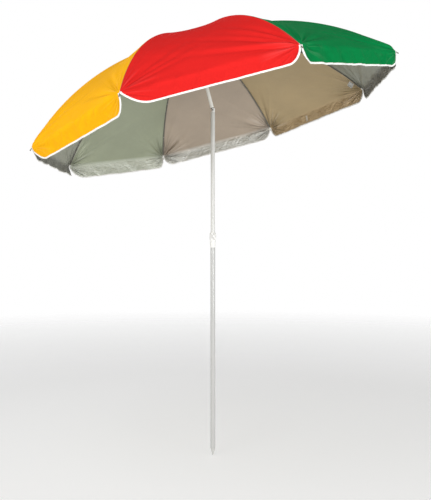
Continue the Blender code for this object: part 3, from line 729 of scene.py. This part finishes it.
def outside_cloth(name, colour):
    """Woven polyester: fine threads, cloudy dye, creases at the tips with painted highlights on their crests and
    painted shade in their valleys, a stitched seam beside each rib, and painted shade on the flap.
    """
    made, tree, shader = finish(name, {"Specular IOR Level": 0.03})
    threads, vector = weave(tree)
    clouds = noise(tree, coordinates(tree, "Object"), 5.0, 4.0)
    slubs = noise(tree, coordinates(tree, "UV", (260, 18, 1)), 3.0, 2.0)
    cloudy = between(tree, clouds, 0, 1, 0.3, 0.7)
    dyed = blend_colours(tree, cloudy, shade(colour, 0.93), shade(colour, 1.05))
    woven = blend_colours(tree, between(tree, threads, 0.0, 0.22), dyed, shade(colour, 0.72))
    lined = blend_colours(tree, between(tree, slubs, 0.0, 0.16, 0.45, 0.75), woven, shade(colour, 1.18))
    sewn = stitches(tree, vector, 0, 1, 0.0036)
    stitched = blend_colours(tree, sewn, lined, shade(colour, 0.55))
    # Painted shade: the outside of the flap is darkened towards 0.80 of its colour
    flap = between(tree, parts_of(tree, vector)[1], 0.0, 0.75, 0.990, 1.015)
    with_flap_shading = blend_colours(tree, flap, stitched, shade(colour, 0.80))
    # Painted highlights on the creases' crests and painted shade in their valleys, over their bump
    fold, strength = fan_creases(tree, vector)
    tree.links.new(creased_colour(tree, fold, strength, with_flap_shading, 0.03, 0.20), shader.inputs["Base Color"])
    tree.links.new(between(tree, slubs, 0.62, 0.78), shader.inputs["Roughness"])
    crinkle = noise(tree, coordinates(tree, "UV"), 38.0, 3.0)
    fans = bump(tree, shader, math_of(tree, "MULTIPLY", fold, strength), 0.0100, 0.8)
    soft = bump(tree, shader, crinkle, 0.0012, 0.35, fans)
    woven_bump = bump(tree, shader, threads, 0.00012, 0.5, soft)
    bump(tree, shader, sewn, 0.0003, 0.6, woven_bump)
    return made


def inside_cloth(name, colour, flap_light_and_shade):
    """The cloth's silver coating, tinted by the dye: satin, with fine specks, creases at the tips with painted
    highlights on their crests and painted shade in their valleys, and a flap colour that is painted light on most
    panels and painted shade on the blue ones.
    """
    made, tree, shader = finish(name, {"Metallic": 0.30, "Sheen Weight": 0.08, "Sheen Roughness": 0.4})
    threads, vector = weave(tree)
    clouds = noise(tree, coordinates(tree, "Object"), 7.0, 5.0)
    specks = noise(tree, coordinates(tree, "UV"), 420.0, 3.0)
    cloudy = between(tree, clouds, 0, 1, 0.3, 0.7)
    coated = blend_colours(tree, cloudy, shade(colour, 0.94), shade(colour, 1.06))
    speckled = between(tree, specks, 0.0, 0.35, 0.55, 0.8)
    worn = blend_colours(tree, speckled, coated, shade(colour, 1.25))
    # Painted light and shade: on the flaps the coating takes its lit or shaded flap colour
    flap_mask = between(tree, parts_of(tree, vector)[1], 0.0, 1.0, 0.985, 1.010)
    flap = blend_colours(tree, speckled, flap_light_and_shade, shade(flap_light_and_shade, 1.2))
    with_flap_shading = blend_colours(tree, flap_mask, worn, flap)
    # Painted highlights on the creases' crests and painted shade in their valleys, over their bump
    fold, strength = fan_creases(tree, vector)
    tree.links.new(creased_colour(tree, fold, strength, with_flap_shading, 0.13, 0.30), shader.inputs["Base Color"])
    tree.links.new(between(tree, clouds, 0.36, 0.50, 0.3, 0.7), shader.inputs["Roughness"])
    crinkle = noise(tree, coordinates(tree, "UV"), 30.0, 5.0, 0.6)
    fans = bump(tree, shader, math_of(tree, "MULTIPLY", fold, strength), 0.0200, 1.0)
    soft = bump(tree, shader, crinkle, 0.0030, 0.55, fans)
    streaks = noise(tree, coordinates(tree, "UV", (26, 60, 1), 0.6), 1.0, 4.0, 0.6)
    ridges = math_of(tree, "ABSOLUTE", math_of(tree, "SUBTRACT", streaks, 0.5))
    creases = math_of(tree, "MULTIPLY", math_of(tree, "SQRT", ridges), flap_mask)
    creased = bump(tree, shader, creases, 0.0080, 0.75, soft)
    bump(tree, shader, threads, 0.00010, 0.4, creased)
    return made


def tape_finish(name, colour, roughness):
    """Grosgrain tape: fine ribs across it, a stitched row and slight soiling."""
    made, tree, shader = finish(name, {"Sheen Weight": 0.15, "Sheen Roughness": 0.5})
    vector = coordinates(tree, "UV")
    ribs = waves(tree, vector, WAVE_PERIOD / GROSGRAIN_PITCH, "X")
    soil = noise(tree, coordinates(tree, "Object"), 24.0, 4.0)
    base = blend_colours(tree, between(tree, soil, 0, 1, 0.35, 0.75), colour, shade(colour, 0.90))
    woven = blend_colours(tree, between(tree, ribs, 0.0, 0.18), base, shade(colour, 0.75))
    sewn = stitches(tree, vector, 1, 0, 0.0062)
    tree.links.new(blend_colours(tree, sewn, woven, shade(colour, 0.62)), shader.inputs["Base Color"])
    tree.links.new(between(tree, soil, roughness, roughness + 0.12), shader.inputs["Roughness"])
    low = bump(tree, shader, ribs, 0.00015, 0.5)
    bump(tree, shader, sewn, 0.0003, 0.6, low)
    return made


def thread_finish(name, colour):
    """Twisted thread, with painted shade between its strands."""
    made, tree, shader = finish(name, {"Roughness": 0.6})
    twist = waves(tree, coordinates(tree, "Object"), 900.0, "DIAGONAL")
    # Painted shade between the thread's strands
    tree.links.new(blend_colours(tree, twist, colour, shade(colour, 0.7)), shader.inputs["Base Color"])
    bump(tree, shader, twist, 0.0001, 0.6)
    return made


def lacquer_finish(name, colour, gloss=1.0):
    """Sprayed lacquer on steel: orange peel, faint streaks and small chips."""
    made, tree, shader = finish(name, {"Coat Weight": 0.35 * gloss, "Coat Roughness": 0.12,
                                       "Specular IOR Level": 0.5 * gloss})
    place = coordinates(tree, "Object")
    clouds = noise(tree, place, 9.0, 4.0)
    streaks = noise(tree, coordinates(tree, "Object", (240, 240, 3)), 1.0, 3.0)
    chips = noise(tree, place, 130.0, 5.0, 0.7)
    base = blend_colours(tree, between(tree, clouds, 0, 1, 0.3, 0.7), colour, shade(colour, 0.94))
    rubbed = blend_colours(tree, between(tree, streaks, 0.0, 0.30, 0.5, 0.85), base, shade(colour, 0.78))
    chipped = blend_colours(tree, between(tree, chips, 0.0, 0.8, 0.74, 0.78), rubbed, (0.28, 0.27, 0.25))
    tree.links.new(chipped, shader.inputs["Base Color"])
    tree.links.new(between(tree, streaks, 0.30, 0.48, 0.3, 0.8), shader.inputs["Roughness"])
    bump(tree, shader, noise(tree, place, 700.0, 2.0), 0.0002, 0.12)
    return made


def plastic_finish(name, colour, roughness):
    """Moulded plastic: fine grain, faint flow marks and scuffs."""
    made, tree, shader = finish(name, {"Specular IOR Level": 0.45})
    place = coordinates(tree, "Object")
    flow = noise(tree, place, 22.0, 4.0)
    scuffs = noise(tree, coordinates(tree, "Object", (90, 260, 60)), 1.0, 5.0, 0.7)
    base = blend_colours(tree, between(tree, flow, 0, 1, 0.3, 0.7), colour, shade(colour, 0.92))
    worn = blend_colours(tree, between(tree, scuffs, 0.0, 0.35, 0.58, 0.78), base, shade(colour, 0.70))
    tree.links.new(worn, shader.inputs["Base Color"])
    tree.links.new(between(tree, scuffs, roughness, roughness + 0.15, 0.3, 0.8), shader.inputs["Roughness"])
    bump(tree, shader, noise(tree, place, 1400.0, 3.0), 0.00012, 0.35)
    return made


def zinc_finish(name, colour):
    """Zinc plate: spangled, with fine brush lines and dull spots."""
    made, tree, shader = finish(name, {"Metallic": 0.95})
    place = coordinates(tree, "Object")
    spangle = noise(tree, place, 160.0, 3.0)
    brushed = noise(tree, coordinates(tree, "Object", (1500, 90, 1500)), 1.0, 2.0)
    base = blend_colours(tree, between(tree, spangle, 0, 1, 0.35, 0.65), colour, shade(colour, 0.80))
    tree.links.new(base, shader.inputs["Base Color"])
    tree.links.new(between(tree, brushed, 0.24, 0.46, 0.3, 0.7), shader.inputs["Roughness"])
    bump(tree, shader, brushed, 0.00005, 0.4)
    return made


CLOTH_OUTSIDE = {key: outside_cloth(f"{key}_cloth_outside", OUTSIDE[key]) for key in PANEL_COLOURS}
CLOTH_INSIDE = {
    key: inside_cloth(f"{key}_cloth_coating", INSIDE[key], INSIDE_FLAP_LIGHT_AND_SHADE[key]) for key in PANEL_COLOURS
}
BINDING = tape_finish("white_binding_tape", (0.86, 0.855, 0.83), 0.60)
# Dark grey seam allowance: partly its own colour, partly painted shade along the ribs
SEAM_CLOTH = tape_finish("seam_allowance", (0.19, 0.185, 0.165), 0.65)
LABEL_CLOTH = tape_finish("label_satin", (0.97, 0.965, 0.95), 0.42)
STRAP_CLOTH = tape_finish("strap_tape", (0.66, 0.59, 0.48), 0.60)
THREAD = thread_finish("white_thread", (0.78, 0.77, 0.74))
CAD_FINISHES = {
    "lacquered_steel": lacquer_finish("lacquered_steel_skin", (0.60, 0.60, 0.575)),
    # Dark rib lacquer: partly the ribs' own colour, partly painted shade for the shadow along each seam
    "grey_steel": lacquer_finish("grey_steel_skin", (0.20, 0.19, 0.165), 0.1),
    "zinc_steel": zinc_finish("zinc_steel_skin", (0.58, 0.58, 0.57)),
    "white_plastic": plastic_finish("white_plastic_skin", (0.78, 0.775, 0.75), 0.38),
    "grey_plastic": plastic_finish("grey_plastic_skin", (0.50, 0.50, 0.48), 0.42),
    "black_plastic": plastic_finish("black_plastic_skin", (0.045, 0.040, 0.035), 0.45),
}

# Lit and shaded copies of the pole lacquer: the upper tube's is painted lighter against the shade under the
# canopy, and the lower tube's is painted darker against the strong light on it
POLE_LIGHT_AND_SHADE_FINISHES = {
    "upper_pole": lacquer_finish("upper_pole_lacquer_painted_light", (0.86, 0.85, 0.81)),
    "lower_pole": lacquer_finish("lower_pole_lacquer_painted_shade", (0.48, 0.48, 0.465)),
}


# ---------------------------------------------------------------- assembly


def dress_canopy():
    """Every half-panel with its binding, in the row frame; the CAD half-panels are hidden."""
    for panel in PANELS:
        for side in ("a", "b"):
            node_name = f"panel_{panel.rib + 1}_{side}"
            cloth = half_panel(panel, side)
            edging = binding(panel, side)
            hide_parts(node_name)
            for piece in (cloth, edging):
                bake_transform(piece)


def dress_ribs():
    """Seam allowances, thread ties and tip tabs on the eight ribs."""
    for rib in range(RIB_COUNT):
        seam_tape(rib)
        for number, q in enumerate(TIE_PLACES):
            rib_tie(rib, q, number + 1)
        tip_tab(rib)


def soft_strip(name, places, half_width, side, thickness, material):
    """A flat strip of tape through places, each a point and a normal."""
    vertices = []
    uvs = []
    columns = 7
    run = 0.0
    for n, (point, normal) in enumerate(places):
        if n:
            run += (point - places[n - 1][0]).length
        for k in range(columns):
            across = (2 * k / (columns - 1) - 1) * half_width
            vertices.append(point + side * across + normal * thickness / 2)
            uvs.append((run, half_width + across))
    vertices += [v - places[n // columns][1] * thickness for n, v in enumerate(vertices)]
    faces = closed_sheet(grid_faces(len(places), columns), len(places), columns)
    return make_object(name, vertices, faces, [material], uvs + uvs)


def dress_care_label():
    """Blank satin label sewn into the fourth rib's seam, curling a little as it hangs."""
    low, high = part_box("care_label")
    centre = (low + high) / 2
    azimuth = azimuth_of(3)
    turn = HEAD.to_3x3()
    radial = turn @ Vector((math.cos(azimuth), math.sin(azimuth), 0))
    up = turn @ Vector((0, 0, 1))
    across = beside_rib(3)
    slope = math.asin((LABEL_RADIUS - RIB_STRAIGHT_END) / RIB_BEND_RADIUS)
    along_rib = radial * math.cos(slope) - up * math.sin(slope)
    inward = -radial * math.sin(slope) - up * math.cos(slope)
    rows = 22
    point = centre - inward * LABEL_LENGTH / 2
    places = []
    for n in range(rows + 1):
        curl = math.radians(14) * math.sin(math.pi * 1.4 * n / rows)
        heading = Matrix.Rotation(curl, 3, along_rib) @ inward
        if n:
            point = point + heading * LABEL_LENGTH / rows
        places.append((point.copy(), (Matrix.Rotation(curl, 3, along_rib) @ across).normalized()))
    made = soft_strip("care_label_cloth", places, LABEL_WIDTH / 2, along_rib, 0.0004, LABEL_CLOTH)
    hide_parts("care_label")
    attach(made, "rib_4")


def dress_closure_strap():
    """Short doubled strap sewn to the inside of the fourth flap."""
    panel = PANELS[3]
    count = 16
    top = 0.010
    u_place = np.full(2, STRAP_SHARE)
    q_place = np.full(2, top + STRAP_LENGTH / 2)
    ends = panel.skin(u_place + np.array([-0.01, 0.01]), q_place, 0.0)
    across = Vector(ends[1] - ends[0]).normalized()
    places = []
    for n in range(count + 1):
        q = np.full(2, top + STRAP_LENGTH * n / count)
        pair = panel.skin(u_place, q, np.array([-0.0013, -0.0023]))
        places.append((Vector(pair[0]), Vector(pair[0] - pair[1]).normalized()))
    made = soft_strip("closure_strap_tape", places, STRAP_WIDTH / 2, across, 0.0012, STRAP_CLOTH)
    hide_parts("closure_strap")
    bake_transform(made)


def dress_tilt_spring():
    """The button's spring: coils between the knuckle and the button."""
    low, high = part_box("tilt_spring")
    centre = (low + high) / 2
    axis = Vector(JOINTS["tilt_button_press"]["axis"])
    span = abs((high - low).dot(axis)) - 2 * SPRING_WIRE
    coil = (high.z - low.z) / 2 - SPRING_WIRE
    across = Vector((0, 0, 1))
    other = axis.cross(across)
    count = 60
    path = []
    for n in range(count + 1):
        turn = 2 * math.pi * SPRING_TURNS * n / count
        along = axis * span * (n / count - 0.5)
        path.append(centre + along + coil * (math.cos(turn) * across + math.sin(turn) * other))
    made = tube("tilt_spring_wire", path, SPRING_WIRE, 8, CAD_FINISHES["zinc_steel"])
    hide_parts("tilt_spring")
    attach(made, "middle")
    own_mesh(made)


def dress_cad_nodes():
    """Give each carried-over CAD node its own finish or that of its slot."""
    slots = {part["node"]: part["material_slot"] for part in frame["record"]["subparts"]}
    for name, part in frame["nodes"].items():
        # The pole tubes take their lit and shaded copies of the lacquer
        material = POLE_LIGHT_AND_SHADE_FINISHES.get(name, CAD_FINISHES.get(slots[name]))
        if material is None:
            continue
        part.data.materials.clear()
        part.data.materials.append(material)
        for face in part.data.polygons:
            face.material_index = 0


# ---------------------------------------------------------------- studio

def make_floor():
    """Pale disc of floor that fades into the backdrop's white."""
    mesh = bpy.data.meshes.new("floor")
    turns = [2 * math.pi * k / FLOOR_SIDES for k in range(FLOOR_SIDES)]
    rim = [(FLOOR_RADIUS * math.cos(turn), FLOOR_RADIUS * math.sin(turn), 0) for turn in turns]
    mesh.from_pydata(rim, [], [tuple(range(FLOOR_SIDES))])
    floor = bpy.data.objects.new("floor", mesh)
    bpy.context.scene.collection.objects.link(floor)
    made, tree, shader = finish("floor_paper", {"Base Color": (0.93, 0.93, 0.925, 1.0), "Roughness": 0.9,
                                                "Specular IOR Level": 0.1, "Emission Strength": 0.26,
                                                "Emission Color": (1.0, 1.0, 1.0, 1.0)})
    place = node(tree, "ShaderNodeTexCoord")
    ring = node(tree, "ShaderNodeVectorMath", operation="LENGTH")
    tree.links.new(place.outputs["Object"], ring.inputs[0])
    fade = between(tree, ring.outputs["Value"], 0.0, 1.0, 2.0, 7.0)
    clear = node(tree, "ShaderNodeBsdfTransparent")
    mixed = node(tree, "ShaderNodeMixShader")
    output = tree.nodes["Material Output"]
    tree.links.new(fade, mixed.inputs[0])
    tree.links.new(shader.outputs[0], mixed.inputs[1])
    tree.links.new(clear.outputs[0], mixed.inputs[2])
    tree.links.new(mixed.outputs[0], output.inputs["Surface"])
    mesh.materials.append(made)


def make_world():
    """White at the horizon and below it, dimmer overhead."""
    world = bpy.data.worlds.new("studio")
    bpy.context.scene.world = world
    world.use_nodes = True
    tree = world.node_tree
    place = node(tree, "ShaderNodeTexCoord")
    strength = between(tree, parts_of(tree, place.outputs["Generated"])[2], 1.0, 0.20, 0.36, 0.72)
    background = tree.nodes["Background"]
    background.inputs["Color"].default_value = (1.0, 1.0, 1.0, 1.0)
    tree.links.new(strength, background.inputs["Strength"])


def soft_light(name, place, target, size, power):
    """A soft box at a place, turned to its target, that isn't seen itself."""
    lamp = bpy.data.lights.new(name, "AREA")
    lamp.shape = "RECTANGLE"
    lamp.size, lamp.size_y = size
    lamp.energy = power
    made = bpy.data.objects.new(name, lamp)
    bpy.context.scene.collection.objects.link(made)
    made.location = place
    made.rotation_euler = (Vector(target) - Vector(place)).to_track_quat("-Z", "Y").to_euler()
    made.visible_camera = False


def make_camera():
    """Level camera at chest height, 3 m in front of the pole."""
    lens = bpy.data.cameras.new("camera")
    lens.sensor_width = 36.0
    lens.lens = CAMERA_LENS
    camera = bpy.data.objects.new("camera", lens)
    bpy.context.scene.collection.objects.link(camera)
    camera.location = Matrix.Rotation(CAMERA_TURN, 3, "Z") @ Vector(CAMERA_PLACE)
    camera.rotation_euler = (math.radians(90), 0, CAMERA_TURN)
    bpy.context.scene.camera = camera


make_camera()
dress_canopy()
dress_ribs()
dress_care_label()
dress_closure_strap()
dress_tilt_spring()
dress_cad_nodes()
make_floor()
make_world()
for light in LIGHTS:
    soft_light(*light)
bpy.context.scene.view_settings.view_transform = "Standard"
